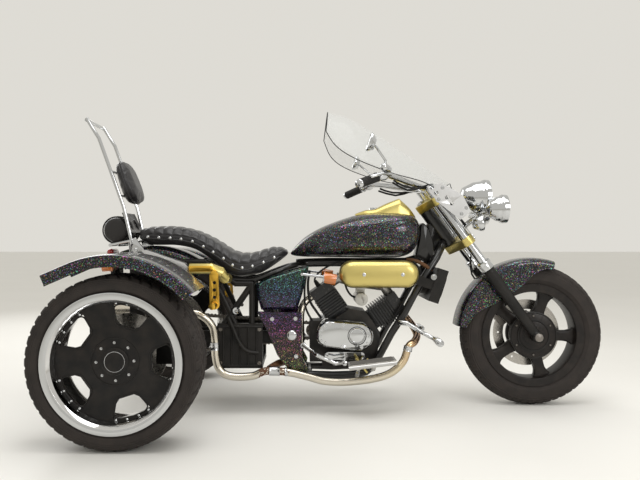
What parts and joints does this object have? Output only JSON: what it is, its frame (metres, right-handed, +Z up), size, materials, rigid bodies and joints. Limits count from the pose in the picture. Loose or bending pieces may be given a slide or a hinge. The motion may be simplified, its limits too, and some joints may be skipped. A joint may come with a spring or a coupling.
{
  "type": "motorized trike",
  "caption": "Three-wheeled cruiser with one steered front wheel, a V-twin engine, two wide rear wheels under fenders, a long seat, a backrest and a windshield.",
  "frame": {"origin": "on the floor, at the middle of the trike's length and width", "axes": "+X towards the front wheel, +Y towards the rider's left, +Z up"},
  "size_m": [2.301, 1.495, 1.307],
  "materials": {
    "frame_black": "gloss",
    "shock_steel": "satin",
    "chain_steel": "oily",
    "engine_black": "satin",
    "cover_chrome": "polished",
    "cylinder_black": "satin",
    "carb_alloy": "cast",
    "gold_satin": "satin",
    "exhaust_steel": "heat tinted",
    "radiator_black": "satin",
    "flake_paint": "metal flake under clear coat",
    "seat_leather": "satin",
    "stay_steel": "satin",
    "bar_chrome": "polished",
    "bag_leather": "satin",
    "board_rubber": "matte",
    "control_chrome": "polished",
    "peg_gold": "satin",
    "lens_amber": "gloss",
    "plate_black": "satin",
    "tube_chrome": "polished",
    "slider_black": "satin",
    "caliper_dark": "dark anodised",
    "cable_black": "satin",
    "lamp_chrome": "polished",
    "clear_screen": "clear",
    "bracket_steel": "polished",
    "tyre_rubber": "dusty",
    "wheel_black": "satin black centre, polished rim"
  },
  "bodies": {
    "chassis": {"main_frame": "frame_black", "head_tube": "frame_black", "rear_subframe": "frame_black", "axle_carrier": "frame_black", "rear_shocks": "shock_steel", "final_drive": "chain_steel", "crankcase": "engine_black", "crankcase_covers": "cover_chrome", "cylinders": "cylinder_black", "carburettors": "carb_alloy", "air_cleaner": "gold_satin", "exhaust_pipes": "exhaust_steel", "radiator": "radiator_black", "fuel_tank": "flake_paint", "tank_console": "gold_satin", "seat": "seat_leather", "rear_fenders": "flake_paint", "fender_stays": "stay_steel", "side_covers": "flake_paint", "sissy_bar": "bar_chrome", "backrest_pad": "seat_leather", "roll_bag": "bag_leather", "footboards": "board_rubber", "foot_controls": "control_chrome", "highway_pegs": "control_chrome", "passenger_pegs": "peg_gold", "rear_lights": "lens_amber", "plate_bracket": "plate_black"},
    "steering": {"fork_yokes": "gold_satin", "fork_tubes": "tube_chrome", "fork_sliders": "slider_black", "front_caliper": "caliper_dark", "front_fender": "flake_paint", "handlebar": "bar_chrome", "control_cables": "cable_black", "mirrors": "bar_chrome", "front_lamps": "lamp_chrome", "windshield": "clear_screen", "windshield_brackets": "bracket_steel"},
    "front_wheel_body": {"front_tyre": "tyre_rubber", "front_wheel": "wheel_black"},
    "rear_right_body": {"rear_tyre_right": "tyre_rubber", "rear_wheel_right": "wheel_black"},
    "rear_left_body": {"rear_tyre_left": "tyre_rubber", "rear_wheel_left": "wheel_black"}
  },
  "joints": [
    {"name": "steering_turn", "type": "hinge", "parent": "chassis", "child": "steering", "pos_m": [0.42725, 0, 0.78924], "axis": [-0.5906, 0, 0.807], "range_deg": [-35, 35]},
    {"name": "front_wheel_spin", "type": "hinge", "parent": "steering", "child": "front_wheel_body", "pos_m": [0.8385, 0, 0.312], "axis": [0, 1, 0], "continuous": true},
    {"name": "rear_right_spin", "type": "hinge", "parent": "chassis", "child": "rear_right_body", "pos_m": [-0.8425, -0.62, 0.308], "axis": [0, 1, 0], "continuous": true},
    {"name": "rear_left_spin", "type": "hinge", "parent": "chassis", "child": "rear_left_body", "pos_m": [-0.8425, 0.62, 0.308], "axis": [0, 1, 0], "continuous": true}
  ]
}
